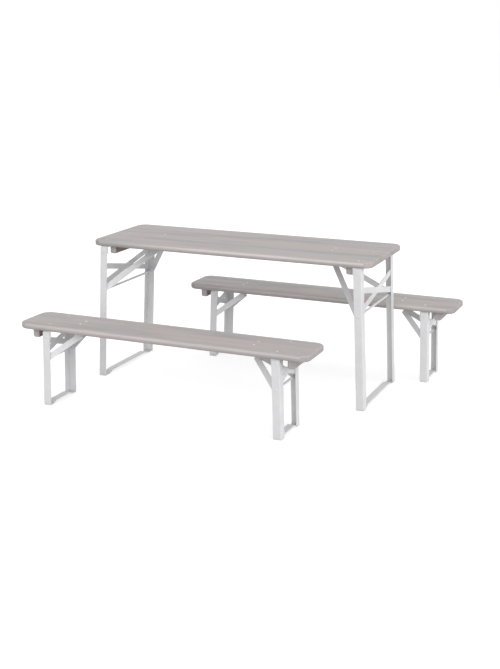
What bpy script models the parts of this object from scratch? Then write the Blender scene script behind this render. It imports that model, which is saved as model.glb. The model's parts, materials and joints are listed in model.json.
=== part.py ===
"""Kids' table with two benches, each a board on folding steel leg frames.

Metres, +Z up. X runs along the boards, Y across them, and the floor is at zero.
"""

import math

import bmesh
import bpy
from mathutils import Matrix, Vector

# Gaps between neighbouring solids
FIT_GAP = 0.0003
SIDE_GAP = 0.0005
SWING_GAP = 0.0006
CROWN = 0.0002
OVERRUN = 0.002

# Boards, alike in length and thickness
BOARD_LENGTH = 1.07
BOARD_THICKNESS = 0.021
BOARD_CORNER = 0.035
BOARD_ROUNDING = 0.006
CORNER_STEPS = 6
ROUNDING_STEPS = 3

# Angle iron of the uprights
ANGLE_WIDTH = 0.0285
STEEL = 0.0025
BEND_RADIUS = 0.003
BEND_STEPS = 3
TOP_CORNER = 0.004
ARC_STEPS = 12

# Hinge pins and brace rods
PIN_RADIUS = 0.003
ROD_RADIUS = 0.0041
RIVET_RADIUS = 0.0054
RIVET_HEIGHT = 0.001
ROUND_STEPS = 12

# Hinge strap that is screwed under the board, its ends turned down as ears
STRAP_INNER_REACH = 0.017
EAR_CORNER = 0.006

# Cross brace of flat bars
BAR_WIDTH = 0.021

# Brace strip, bent into a V with two rounded tabs
STRIP_STEEL = 0.0025
STRIP_HALF = 0.0105
TAB_LENGTH = 0.012
APEX_HALF = 0.010
APEX_DROP = 0.0205

# Catch under the board that the brace strip's middle leans on
CATCH_STEEL = 0.002
CATCH_INNER_REACH = 0.012
CATCH_HALF = 0.0245
CATCH_HOLD = 0.004

# Foot strip that joins the two feet
FOOT_STEEL = 0.003
FOOT_WIDTH = 0.024
FOOT_RISE = 0.009

# Battens across the underside
BATTEN_EASING = 0.002
BATTEN_ROUNDING = 0.007
BATTEN_STEPS = 4
EASING_STEPS = 2

# Colours from the photograph
WOOD_COLOR = (0.45, 0.42, 0.40)
STEEL_COLOR = (0.72, 0.73, 0.74)

# Which side of its leg frame each batten lies on
OUTBOARD = 1
INBOARD = -1

TABLE = {
    "height": 0.52,
    "width": 0.376,
    "board_overhang": 0.001,
    "hinge_inset": 0.0475,
    "leg_slope_share": 0.0486,
    "rod_drop": 0.148,
    "apex_inset": 0.1454,
    "bar_drop": 0.0935,
    "bar_slope_share": 0.197,
    "foot_pad": 0.0292,
    "ramp_run": 0.027,
    "batten_side": INBOARD,
    "batten_gap": 0.00225,
    "batten_width": 0.025,
    "batten_depth": 0.0275,
    "batten_inset": 0.018,
}
BENCH = {
    "height": 0.29,
    "width": 0.175,
    "board_overhang": 0.005,
    "hinge_inset": 0.1097,
    "leg_slope_share": 0.0315,
    "rod_drop": 0.083,
    "apex_inset": 0.0985,
    "bar_drop": 0.0387,
    "bar_slope_share": 0.307,
    "foot_pad": 0.0165,
    "ramp_run": 0.022,
    "batten_side": OUTBOARD,
    "batten_gap": 0.021,
    "batten_width": 0.026,
    "batten_depth": 0.031,
    "batten_inset": 0.020,
}

# Clear floor between the table's edges and the benches, and how far each
# bench is shifted along the table
FRONT_GAP = 0.2025
REAR_GAP = 0.022
FRONT_SHIFT = -0.078
REAR_SHIFT = 0.193

SIDES = (("left", -1), ("right", 1))
ENDS = (("near", -1), ("rear", 1))


def layout():
    """Name, kind and centre of each unit, round the middle of the whole set."""
    middle_x = (FRONT_SHIFT + REAR_SHIFT) / 2
    depth = FRONT_GAP + TABLE["width"] + REAR_GAP + 2 * BENCH["width"]
    front = (BENCH["width"] - depth) / 2
    table = front + (BENCH["width"] + TABLE["width"]) / 2 + FRONT_GAP
    rear = (depth - BENCH["width"]) / 2
    return (
        ("table", TABLE, (-middle_x, table)),
        ("front_bench", BENCH, (FRONT_SHIFT - middle_x, front)),
        ("rear_bench", BENCH, (REAR_SHIFT - middle_x, rear)),
    )


def remove_all_objects():
    for item in list(bpy.data.objects):
        bpy.data.objects.remove(item, do_unlink=True)


def painted(name, color, roughness, metallic):
    material = bpy.data.materials.new(name)
    material.use_nodes = True
    shader = material.node_tree.nodes["Principled BSDF"]
    shader.inputs["Base Color"].default_value = (*color, 1)
    shader.inputs["Roughness"].default_value = roughness
    shader.inputs["Metallic"].default_value = metallic
    material.diffuse_color = (*color, 1)
    return material


def wood(name):
    return painted(name, WOOD_COLOR, 0.55, 0)


def painted_steel(name):
    return painted(name, STEEL_COLOR, 0.4, 0)


def arc(centre, radius, start, end, steps):
    """Points on an arc, its angles in degrees."""
    points = []
    for step in range(steps + 1):
        angle = math.radians(start + (end - start) * step / steps)
        across = centre[0] + radius * math.cos(angle)
        up = centre[1] + radius * math.sin(angle)
        points.append((across, up))
    return points


def rounded_rectangle(half_x, half_y, radius, steps):
    across = half_x - radius
    along = half_y - radius
    outline = arc((across, along), radius, 0, 90, steps)
    outline += arc((-across, along), radius, 90, 180, steps)
    outline += arc((-across, -along), radius, 180, 270, steps)
    outline += arc((across, -along), radius, 270, 360, steps)
    return outline


def thick_path(points, thickness):
    """Outline of a path with square bends, thickened to its left."""
    path = [Vector(point) for point in points]
    normals = []
    for start, end in zip(path, path[1:]):
        run = (end - start).normalized()
        normals.append(Vector((-run.y, run.x)))
    offset = [path[0] + thickness * normals[0]]
    for corner, before, after in zip(path[1:], normals, normals[1:]):
        middle = (before + after).normalized()
        offset.append(corner + middle * (thickness / middle.dot(after)))
    offset.append(path[-1] + thickness * normals[-1])
    return [tuple(point) for point in path + offset[::-1]]


def corner_point(axis, pair, along):
    first, second = pair
    if axis == "X":
        return Vector((along, first, second))
    if axis == "Y":
        return Vector((first, along, second))
    return Vector((first, second, along))


def add_prism(shape, outline, axis, start, end):
    """Extrude an outline along an axis and return the new points."""
    base = [shape.verts.new(corner_point(axis, pair, start)) for pair in outline]
    face = shape.faces.new(base)
    grown = bmesh.ops.extrude_face_region(shape, geom=[face])["geom"]
    moved = [item for item in grown if isinstance(item, bmesh.types.BMVert)]
    bmesh.ops.translate(shape, verts=moved, vec=corner_point(axis, (0, 0), end - start))
    return base + moved


def add_turned(shape, profile, centre):
    """Spin a profile of places along Y and radii there about that axis."""
    middle = Vector(centre)
    closed = [(profile[0][0], 0), *profile, (profile[-1][0], 0)]
    points = [shape.verts.new(middle + Vector((radius, along, 0))) for along, radius in closed]
    edges = [shape.edges.new(pair) for pair in zip(points, points[1:])]
    others = set(shape.verts) - set(points)
    bmesh.ops.spin(
        shape,
        geom=points + edges,
        cent=middle,
        axis=(0, 1, 0),
        angle=math.tau,
        steps=ROUND_STEPS,
        use_merge=True,
    )
    made = [item for item in shape.verts if item not in others]
    bmesh.ops.remove_doubles(shape, verts=made, dist=FIT_GAP / 10)


def mirror_to_side(shape, side):
    bmesh.ops.transform(shape, matrix=Matrix.Diagonal((side, 1, 1, 1)), verts=shape.verts)


def make_object(name, shape, place, material=None):
    """Turn a shape drawn round its unit's centre into an object there."""
    bmesh.ops.translate(shape, verts=shape.verts, vec=Vector(place))
    bmesh.ops.recalc_face_normals(shape, faces=shape.faces)
    mesh = bpy.data.meshes.new(name)
    shape.to_mesh(mesh)
    shape.free()
    item = bpy.data.objects.new(name, mesh)
    bpy.context.scene.collection.objects.link(item)
    if material:
        mesh.materials.append(material(name))
    return item


def apply_modifier(item, modifier):
    bpy.context.view_layer.objects.active = item
    bpy.ops.object.modifier_apply(modifier=modifier.name)


def combine(item, other, operation):
    """Cut the item with another solid or join that solid to it."""
    other.hide_render = True
    other.display_type = "WIRE"
    modifier = item.modifiers.new("combine", "BOOLEAN")
    modifier.operation = operation
    modifier.solver = "EXACT"
    modifier.object = other
    apply_modifier(item, modifier)
    bpy.data.objects.remove(other)


def round_edges(item, width, steps, angle):
    modifier = item.modifiers.new("rounding", "BEVEL")
    modifier.width = width
    modifier.segments = steps
    modifier.limit_method = "ANGLE"
    modifier.angle_limit = math.radians(angle)
    modifier.use_clamp_overlap = True
    apply_modifier(item, modifier)


def shade_round(item):
    item.data.shade_smooth()
    item.data.set_sharp_from_angle(angle=math.radians(35))


def set_pivot(item, pivot):
    """Put the object's origin on its joint's axis."""
    item.data.transform(Matrix.Translation(-Vector(pivot)))
    item.location = pivot


def leg_sizes(kind):
    """Work out the sizes that the pieces of one kind of unit share."""
    sizes = dict(kind)
    slope = kind["leg_slope_share"]
    hinge = BOARD_LENGTH / 2 - kind["hinge_inset"]
    sizes["hinge_reach"] = hinge
    sizes["apex_reach"] = hinge - kind["apex_inset"]
    sizes["underside"] = kind["height"] - BOARD_THICKNESS
    sizes["crown_radius"] = ANGLE_WIDTH / 2 + CROWN
    sizes["strap_top"] = sizes["underside"] - FIT_GAP
    sizes["strap_bottom"] = sizes["strap_top"] - STEEL
    sizes["hinge_height"] = sizes["strap_bottom"] - SWING_GAP - sizes["crown_radius"]
    sizes["outer_y"] = kind["width"] / 2 - kind["board_overhang"]
    sizes["inner_y"] = sizes["outer_y"] - STEEL
    sizes["ear_outer"] = sizes["inner_y"] - FIT_GAP
    sizes["ear_inner"] = sizes["ear_outer"] - STEEL
    sizes["outer_x"] = hinge + ANGLE_WIDTH / 2
    sizes["inner_x"] = sizes["outer_x"] - STEEL
    sizes["ear_radius"] = ANGLE_WIDTH / 2 - STEEL - FIT_GAP
    sizes["rod_height"] = sizes["hinge_height"] - kind["rod_drop"]
    sizes["rod_reach"] = hinge + slope * kind["rod_drop"]
    sizes["catch_bottom"] = sizes["underside"] - FIT_GAP - CATCH_STEEL
    run = sizes["rod_reach"] - sizes["apex_reach"]
    rise = sizes["underside"] - APEX_DROP - sizes["rod_height"]
    sizes["brace_length"] = math.hypot(run, rise)
    sizes["brace_angle"] = math.atan2(rise, run)
    half_batten = kind["batten_width"] / 2
    sizes["batten_reach"] = sizes["outer_x"] + kind["batten_gap"] + half_batten
    if kind["batten_side"] == INBOARD:
        sizes["batten_reach"] = hinge - STRAP_INNER_REACH - kind["batten_gap"] - half_batten
    return sizes


def splay(shape, sizes):
    """Lean a frame drawn upright outwards below its hinge."""
    for point in shape.verts:
        drop = max(0, sizes["hinge_height"] - point.co.z)
        point.co.x += sizes["leg_slope_share"] * drop


def board(name, kind, place):
    sizes = leg_sizes(kind)
    shape = bmesh.new()
    outline = rounded_rectangle(BOARD_LENGTH / 2, kind["width"] / 2, BOARD_CORNER, CORNER_STEPS)
    add_prism(shape, outline, "Z", sizes["underside"], kind["height"])
    item = make_object(name, shape, place, wood)
    round_edges(item, BOARD_ROUNDING, ROUNDING_STEPS, 60)
    shade_round(item)
    return item


def batten(name, kind, place, side):
    """Cross piece under the board, rounded along its two long lower edges."""
    sizes = leg_sizes(kind)
    top = sizes["underside"] - FIT_GAP
    round_level = sizes["underside"] - kind["batten_depth"] + BATTEN_ROUNDING
    half = kind["batten_width"] / 2
    across = half - BATTEN_ROUNDING
    outline = [(half, top), (-half, top)]
    outline += arc((-across, round_level), BATTEN_ROUNDING, 180, 270, BATTEN_STEPS)
    outline += arc((across, round_level), BATTEN_ROUNDING, 270, 360, BATTEN_STEPS)
    placed = [(sizes["batten_reach"] + x, z) for x, z in outline]
    half_length = kind["width"] / 2 - kind["batten_inset"]
    shape = bmesh.new()
    add_prism(shape, placed, "Y", -half_length, half_length)
    mirror_to_side(shape, side)
    item = make_object(name, shape, place, wood)
    round_edges(item, BATTEN_EASING, EASING_STEPS, 60)
    shade_round(item)


def hinge_rivet(sizes, end):
    """Profile of the pin riveted into one ear, from its outer head inwards."""
    outer = sizes["outer_y"] + FIT_GAP
    inner = sizes["ear_inner"] - RIVET_HEIGHT
    profile = [
        (outer + RIVET_HEIGHT, RIVET_RADIUS - RIVET_HEIGHT),
        (outer + RIVET_HEIGHT / 2, RIVET_RADIUS),
        (outer, RIVET_RADIUS),
        (outer, PIN_RADIUS),
        (inner, PIN_RADIUS),
    ]
    return [(end * along, radius) for along, radius in profile]


def hinge_strap(name, kind, place, side):
    """Flat strap under the board, its ends turned down and riveted to the uprights."""
    sizes = leg_sizes(kind)
    radius = sizes["ear_radius"]
    ear_bottom = sizes["hinge_height"] - radius + CROWN
    path = [
        (sizes["ear_outer"], ear_bottom),
        (sizes["ear_outer"], sizes["strap_top"]),
        (-sizes["ear_outer"], sizes["strap_top"]),
        (-sizes["ear_outer"], ear_bottom),
    ]
    shape = bmesh.new()
    start = sizes["hinge_reach"] - STRAP_INNER_REACH
    end = sizes["hinge_reach"] + radius - CROWN
    add_prism(shape, thick_path(path, STEEL), "X", start, end)
    mirror_to_side(shape, side)
    item = make_object(name, shape, place, painted_steel)
    inner = STRAP_INNER_REACH + CROWN
    corner = (EAR_CORNER - inner, EAR_CORNER - radius)
    rounding = [(radius + OVERRUN, 0)]
    rounding += arc((0, 0), radius, 0, -90, ARC_STEPS // 2)
    rounding += arc(corner, EAR_CORNER, -90, -180, ARC_STEPS // 3)
    rounding += [(-inner - OVERRUN, EAR_CORNER - radius)]
    rounding += [(-inner - OVERRUN, -radius - OVERRUN)]
    rounding += [(radius + OVERRUN, -radius - OVERRUN)]
    placed = [(sizes["hinge_reach"] + x, sizes["hinge_height"] + z) for x, z in rounding]
    cuts = bmesh.new()
    add_prism(cuts, placed, "Y", -sizes["outer_y"], sizes["outer_y"])
    mirror_to_side(cuts, side)
    combine(item, make_object(f"{name}_cutter", cuts, place), "DIFFERENCE")
    pins = bmesh.new()
    for _, end_side in ENDS:
        centre = (side * sizes["hinge_reach"], 0, sizes["hinge_height"])
        add_turned(pins, hinge_rivet(sizes, end_side), centre)
    combine(item, make_object(f"{name}_pins", pins, place), "UNION")
    shade_round(item)


def brace_catch(name, kind, place, side):
    """Plate under the board with a lip outside the brace's upper edge."""
    sizes = leg_sizes(kind)
    angle = sizes["brace_angle"]
    top = sizes["strap_top"]
    behind = STRIP_HALF * math.sin(angle) + STRIP_STEEL * math.cos(angle) + SIDE_GAP
    lip = sizes["apex_reach"] + behind
    upper_edge = sizes["underside"] - APEX_DROP + STRIP_HALF * math.cos(angle)
    plate = [
        (sizes["apex_reach"] - CATCH_INNER_REACH, sizes["catch_bottom"]),
        (lip + CATCH_STEEL, sizes["catch_bottom"]),
        (lip + CATCH_STEEL, top),
        (sizes["apex_reach"] - CATCH_INNER_REACH, top),
    ]
    tongue = [
        (lip, upper_edge - CATCH_HOLD),
        (lip + CATCH_STEEL, upper_edge - CATCH_HOLD),
        (lip + CATCH_STEEL, top),
        (lip, top),
    ]
    lip_half = APEX_HALF - 2 * STRIP_STEEL
    shape = bmesh.new()
    add_prism(shape, plate, "Y", -CATCH_HALF, CATCH_HALF)
    mirror_to_side(shape, side)
    item = make_object(name, shape, place, painted_steel)
    shape = bmesh.new()
    add_prism(shape, tongue, "Y", -lip_half, lip_half)
    mirror_to_side(shape, side)
    combine(item, make_object(f"{name}_lip", shape, place), "UNION")


def uprights(leg, kind, place, side, pivot):
    """Two angle irons, corners outwards, their tops rounded inwards of the hinge."""
    sizes = leg_sizes(kind)
    top = sizes["hinge_height"] + sizes["crown_radius"] + OVERRUN
    left = sizes["outer_x"] - ANGLE_WIDTH
    across = sizes["outer_y"] - ANGLE_WIDTH
    bend = (sizes["outer_x"] - BEND_RADIUS, sizes["outer_y"] - BEND_RADIUS)
    outline = [(left, sizes["inner_y"]), (sizes["inner_x"], sizes["inner_y"])]
    outline += [(sizes["inner_x"], across), (sizes["outer_x"], across)]
    outline += arc(bend, BEND_RADIUS, 0, 90, BEND_STEPS)
    outline += [(left, sizes["outer_y"])]
    radius = sizes["crown_radius"]
    half = ANGLE_WIDTH / 2
    corner = (half - TOP_CORNER, radius - TOP_CORNER)
    crown = [(half + OVERRUN, radius - TOP_CORNER)]
    crown += arc(corner, TOP_CORNER, 0, 90, BEND_STEPS)
    crown += arc((0, 0), radius, 90, 180, ARC_STEPS // 2)
    crown += [(-radius - OVERRUN, 0)]
    crown += [(-radius - OVERRUN, radius + 2 * OVERRUN)]
    crown += [(half + OVERRUN, radius + 2 * OVERRUN)]
    placed = [(sizes["hinge_reach"] + x, sizes["hinge_height"] + z) for x, z in crown]
    reach = sizes["outer_y"] + OVERRUN
    cuts = bmesh.new()
    add_prism(cuts, placed, "Y", -reach, reach)
    hinge = (sizes["hinge_reach"], 0, sizes["hinge_height"])
    rod = (sizes["rod_reach"], 0, sizes["rod_height"])
    for centre, bore in ((hinge, PIN_RADIUS + FIT_GAP), (rod, ROD_RADIUS + FIT_GAP)):
        add_turned(cuts, [(-reach, bore), (reach, bore)], centre)
    mirror_to_side(cuts, side)
    for end_name, end in ENDS:
        shape = bmesh.new()
        mirrored = [(x, end * y) for x, y in outline]
        add_prism(shape, mirrored, "Z", 0, top)
        every = [*shape.verts, *shape.edges, *shape.faces]
        hinge_level = (0, 0, sizes["hinge_height"])
        bmesh.ops.bisect_plane(shape, geom=every, plane_co=hinge_level, plane_no=(0, 0, 1))
        splay(shape, sizes)
        mirror_to_side(shape, side)
        item = make_object(f"{leg}_{end_name}_upright", shape, place, painted_steel)
        cutter = make_object(f"{leg}_upright_cutter", cuts.copy(), place)
        combine(item, cutter, "DIFFERENCE")
        shade_round(item)
        set_pivot(item, pivot)
    cuts.free()


def foot_strip(leg, kind, place, side, pivot):
    """Flat strip inside the feet, on the floor at its ends and raised between."""
    sizes = leg_sizes(kind)
    end = sizes["inner_y"] - FIT_GAP
    ramp_foot = end - kind["foot_pad"]
    ramp_top = ramp_foot - kind["ramp_run"]
    path = [
        (-end, 0),
        (-ramp_foot, 0),
        (-ramp_top, FOOT_RISE),
        (ramp_top, FOOT_RISE),
        (ramp_foot, 0),
        (end, 0),
    ]
    shape = bmesh.new()
    outer = sizes["inner_x"] - FIT_GAP
    add_prism(shape, thick_path(path, FOOT_STEEL), "X", outer - FOOT_WIDTH, outer)
    splay(shape, sizes)
    mirror_to_side(shape, side)
    item = make_object(f"{leg}_foot_strip", shape, place, painted_steel)
    set_pivot(item, pivot)


def cross_brace(leg, kind, place, side, pivot):
    """Two flat bars welded into an X in one plane, inside the end flanges."""
    sizes = leg_sizes(kind)
    slope = kind["bar_slope_share"]
    half = BAR_WIDTH / 2 * math.hypot(1, slope)
    end = sizes["ear_inner"] - SIDE_GAP
    middle = sizes["hinge_height"] - kind["bar_drop"]
    upper = middle + slope * end
    lower = middle - slope * end
    outline = [(-end, upper + half), (0, middle + half), (end, upper + half)]
    outline += [(end, upper - half), (half / slope, middle), (end, lower + half)]
    outline += [(end, lower - half), (0, middle - half), (-end, lower - half)]
    outline += [(-end, lower + half), (-half / slope, middle), (-end, upper - half)]
    outer = sizes["inner_x"] - FIT_GAP
    shape = bmesh.new()
    add_prism(shape, outline, "X", outer - STEEL, outer)
    splay(shape, sizes)
    mirror_to_side(shape, side)
    item = make_object(f"{leg}_cross_brace", shape, place, painted_steel)
    set_pivot(item, pivot)


def brace_rod(leg, kind, place, side, pivot):
    """Round rod through both uprights, riveted over outside them."""
    sizes = leg_sizes(kind)
    outer = sizes["outer_y"] + FIT_GAP
    half = [
        (outer + RIVET_HEIGHT, RIVET_RADIUS - RIVET_HEIGHT),
        (outer + RIVET_HEIGHT / 2, RIVET_RADIUS),
        (outer, RIVET_RADIUS),
        (outer, ROD_RADIUS),
    ]
    profile = half + [(-along, radius) for along, radius in half[::-1]]
    shape = bmesh.new()
    add_turned(shape, profile, (sizes["rod_reach"], 0, sizes["rod_height"]))
    mirror_to_side(shape, side)
    item = make_object(f"{leg}_brace_rod", shape, place, painted_steel)
    shade_round(item)
    set_pivot(item, pivot)


def brace_strip(leg, kind, place, side, pivot):
    """Flat strip bent into a V, its rounded tabs on the rod and its middle at the catch.

    It is drawn lying down, its height along X and its width along Z, and then
    turned up about the rod.
    """
    sizes = leg_sizes(kind)
    outer = sizes["inner_y"] - SIDE_GAP
    length = sizes["brace_length"]
    path = [
        (-STRIP_HALF + CROWN, -outer),
        (TAB_LENGTH, -outer),
        (length, -APEX_HALF),
        (length, APEX_HALF),
        (TAB_LENGTH, outer),
        (-STRIP_HALF + CROWN, outer),
    ]
    shape = bmesh.new()
    add_prism(shape, thick_path(path, STRIP_STEEL), "Z", -STRIP_HALF, STRIP_HALF)
    cuts = bmesh.new()
    rounding = arc((0, 0), STRIP_HALF, 270, 90, ARC_STEPS)
    rounding += [(0, STRIP_HALF + OVERRUN)]
    rounding += [(-STRIP_HALF - OVERRUN, STRIP_HALF + OVERRUN)]
    rounding += [(-STRIP_HALF - OVERRUN, -STRIP_HALF - OVERRUN)]
    rounding += [(0, -STRIP_HALF - OVERRUN)]
    add_prism(cuts, rounding, "Y", -sizes["outer_y"], sizes["outer_y"])
    bore = ROD_RADIUS + FIT_GAP
    reach = sizes["outer_y"]
    add_turned(cuts, [(-reach, bore), (reach, bore)], (0, 0, 0))
    inwards = Matrix.Diagonal((-1, 1, 1, 1))
    upwards = Matrix.Rotation(sizes["brace_angle"], 4, "Y")
    to_rod = Matrix.Translation((sizes["rod_reach"], 0, sizes["rod_height"]))
    for part in (shape, cuts):
        bmesh.ops.transform(part, matrix=to_rod @ upwards @ inwards, verts=part.verts)
        mirror_to_side(part, side)
    item = make_object(f"{leg}_brace_strip", shape, place, painted_steel)
    combine(item, make_object(f"{leg}_brace_cutter", cuts, place), "DIFFERENCE")
    shade_round(item)
    set_pivot(item, pivot)


def leg_frame(unit, kind, place, side_name, side):
    """One folding frame, its pieces' origins on the hinge axis or the rod."""
    leg = f"{unit}_{side_name}"
    sizes = leg_sizes(kind)
    hinge = (place[0] + side * sizes["hinge_reach"], place[1], sizes["hinge_height"])
    rod = (place[0] + side * sizes["rod_reach"], place[1], sizes["rod_height"])
    uprights(leg, kind, place, side, hinge)
    foot_strip(leg, kind, place, side, hinge)
    cross_brace(leg, kind, place, side, hinge)
    brace_rod(leg, kind, place, side, hinge)
    brace_strip(leg, kind, place, side, rod)


def unit(name, kind, centre):
    """One board with its underside fittings and its two leg frames."""
    place = (centre[0], centre[1], 0)
    board(f"{name}_board", kind, place)
    for side_name, side in SIDES:
        batten(f"{name}_{side_name}_batten", kind, place, side)
        hinge_strap(f"{name}_{side_name}_hinge_strap", kind, place, side)
        brace_catch(f"{name}_{side_name}_brace_catch", kind, place, side)
        leg_frame(name, kind, place, side_name, side)


def main():
    remove_all_objects()
    for name, kind, centre in layout():
        unit(name, kind, centre)


main()
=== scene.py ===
"""Looks of a children's table with two benches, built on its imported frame."""

import json
import math
import random

import bpy
from bpy.props import FloatProperty, FloatVectorProperty, IntProperty, PointerProperty
from mathutils import Matrix, Vector


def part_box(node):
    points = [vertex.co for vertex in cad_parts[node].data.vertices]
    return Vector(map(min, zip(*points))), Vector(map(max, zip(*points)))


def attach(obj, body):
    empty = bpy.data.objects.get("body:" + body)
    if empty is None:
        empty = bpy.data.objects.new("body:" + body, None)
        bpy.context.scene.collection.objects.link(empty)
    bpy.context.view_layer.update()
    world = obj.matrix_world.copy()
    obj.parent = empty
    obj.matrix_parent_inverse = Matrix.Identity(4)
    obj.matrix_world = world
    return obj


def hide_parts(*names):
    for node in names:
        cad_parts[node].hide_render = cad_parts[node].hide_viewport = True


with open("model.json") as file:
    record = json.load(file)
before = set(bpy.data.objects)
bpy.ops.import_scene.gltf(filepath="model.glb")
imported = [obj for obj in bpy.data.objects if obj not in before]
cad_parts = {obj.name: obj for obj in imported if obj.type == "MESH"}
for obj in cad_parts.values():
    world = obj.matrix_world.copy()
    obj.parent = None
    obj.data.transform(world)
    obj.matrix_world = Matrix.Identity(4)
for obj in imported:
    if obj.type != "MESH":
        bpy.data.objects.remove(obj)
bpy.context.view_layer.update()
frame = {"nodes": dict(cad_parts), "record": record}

bl_info = {
    "name": "Folding table set",
    "version": (1, 0, 0),
    "blender": (4, 5, 0),
    "location": "3D View > Sidebar > Table set",
    "description": "Builds the looks of a children's table with two benches on its packed frame",
    "category": "Object",
}

BODIES = frame["record"]["behaviour"]["bodies"]
JOINTS = frame["record"]["behaviour"]["joints"]
UNITS = ("table", "front_bench", "rear_bench")
SEATS = {
    "table": "table_top",
    "front_bench": "front_bench_seat",
    "rear_bench": "rear_bench_seat",
}
SIDES = ("left", "right")
LEGS = [(unit, side) for unit in UNITS for side in SIDES]

# Tolerances and angles of the modelling
MERGE = 0.00001
NARROW = 0.0001
FLAT_ANGLE = math.radians(1)
SMOOTH_ANGLE = math.radians(35)
EDGE_ANGLE = math.radians(40)

# Bends that are rounded, by their turn in degrees and by their length
STRIP_BENDS = (10, 75)
STRAP_BENDS = (80, 100)
SHORTEST_BEND = 0.01

# Numbers of segments
CORNER_STEPS = 12
ARRIS_STEPS = 5
BATTEN_STEPS = 8
EASING_STEPS = 3
BEND_STEPS = 4
EDGE_STEPS = 2
SCREW_STEPS = 24
RIVET_STEPS = 32
DOME_STEPS = 6
BEAD_STEPS = 12

# Screws across a board, from the middle of a strap or a catch, and along it from a catch's inner end
STRAP_SCREWS = {
    "table": (-0.163, 0, 0.163),
    "front_bench": (-0.060, 0.060),
    "rear_bench": (-0.060, 0.060),
}
CATCH_SCREWS = (-0.0195, 0.0195)
CATCH_SCREW_INSET = 0.010

# Screws that the glaze partly covers, by their number in a board, and how much it covers them
GLAZED_SCREWS = {"table": (0, 1, 2, 3, 6, 7, 8), "front_bench": (0, 1, 5), "rear_bench": (0, 1, 5)}
GLAZED_SHARE = 0.62

# Shape of a screw and its cross slot, and the room that its seat leaves
HEAD_DEPTH = 0.0022
HEAD_RIM = 0.0003
SLOT_REACH = 0.62
SLOT_HALF_WIDTH = 0.00045
SLOT_DEPTH = 0.0012
SLOT_TOP = 0.001
SLOT_TAPER = 0.6
SEAT_ROOM = 0.0003
THREAD_ROOM = 0.0002
SEAT_PAST = 0.002
THREAD_PAST = 0.001

# How deep a riveted head is set into the end that it closes, and how far a separate head goes below that
RIVET_INSET = 0.001
RIVET_FOOT = 0.0002

# Weld beads: their ripples, their thinner ends and their distance from the hinge straps in bead radii
RIPPLE_LENGTH = 0.0011
RIPPLE_DEPTH = 0.10
BEAD_END = 0.55
BEAD_SWELL = 4
BEAD_ROOM = 1.5

# Depths below a board's ends, sides and top where a tone begins and where it is full, and its share:
# browner wood at the ends, painted shade along the lower part of the side edges and on the inner sides
# of the battens, and a painted highlight along the upper arris
BARE_ENDS = (0.0035, 0.0010)
PAINTED_SHADE_SIDES = (0.004, 0.001)
PAINTED_SHADE_UNDER = (0.011, 0.017)
BARE_END_SHARE = 0.12
PAINTED_SHADE_SHARE = 0.15
# Painted shade on the inner side of a batten, under its board
BATTEN_SHADE_SIDE = (0.0040, 0.0008)
BATTEN_SHADE_SHARE = 0.9
HIGHLIGHT_SIDES = (0.0016, 0.0004)
HIGHLIGHT_UPPER = (0.0125, 0.0070)

# Share of the painted highlight at the left end of a board and from its middle on, stronger on the right
# where the light falls
HIGHLIGHT_SHARES = {"table": (0.35, 1.0), "front_bench": (0.45, 0.60), "rear_bench": (0.45, 0.60)}

# Other stretches of grain for other boards and battens
BOARD_SHIFT = (0.37, 1.3, 0.21)
BATTEN_SHIFT = 0.6
BATTEN_SIDE_SHIFT = {"left": 1.8, "right": 2.25}
BATTEN_RISE = 0.33

# Stretch, detail, roughness and distortion of the noises in each surface
GRAIN_LAYERS = {
    "zones": ((2.0, 21, 21), 4, 0.6, 0.25),
    "drift": ((1.8, 28, 28), 3, 0.5, 0.25),
    "streaks": ((2.6, 45, 45), 7, 0.6, 0.2),
    "second": ((3, 95, 95), 5, 0.6, 0.1),
    "fibres": ((16, 850, 850), 3, 0.6, 0),
    "pores": ((34, 1100, 1100), 2, 0.7, 0),
}
PAINT_LAYERS = {
    "cloud": ((22, 22, 22), 3, 0.6, 0),
    "fine": ((160, 160, 160), 3, 0.6, 0),
    "peel": ((620, 620, 620), 2, 0.4, 0),
}
PLATE_LAYERS = {
    "patches": ((420, 420, 420), 4, 0.6, 0),
    "grains": ((2600, 2600, 2600), 2, 0.5, 0),
}
FLOOR_MOTTLE = ((6, 6, 6), 3, 0.5, 0)
PORE_COLOR = (0.16, 0.13, 0.11)

# What each surface's node group puts out
SURFACE_OUTPUTS = {
    "Color": "NodeSocketColor",
    "Roughness": "NodeSocketFloat",
    "Height": "NodeSocketFloat",
}

# Coat and depth of the relief of each surface
WOOD_COAT = 0.04
PAINT_COAT = 0.2
COAT_ROUGHNESS = 0.22
WOOD_RELIEF = 0.00012
PAINT_RELIEF = 0.00006
PLATE_RELIEF = 0.00004
RELIEF_STRENGTH = 0.35
PLATE_METALLIC = 0.3

# Floor, lamps and camera
FLOOR_SIZE = 40
FLOOR_PLACE = (0, 0, -0.0002)
LAMP_PLACES = {
    "front": (1.6, -4.6, 1.5),
    "side": (4.4, -1.0, 1.3),
    "key": (0.4, 0.5, 4.0),
}
LAMP_TARGET = (0, 0, 0.3)
LAMP_ANGLE = math.radians(60)
SENSOR_WIDTH = 36
CAMERA_PLACE = (1.5633, -3.60365, 1.2858)
CAMERA_TILT = math.radians(90) - 0.2699
CAMERA_TURN = 0.4096


def color_setting(name, description, default):
    return FloatVectorProperty(
        name=name, description=description, default=default, subtype="COLOR", size=3, min=0, max=1
    )


def length_setting(name, description, default):
    return FloatProperty(name=name, description=description, default=default, unit="LENGTH", min=0)


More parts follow.
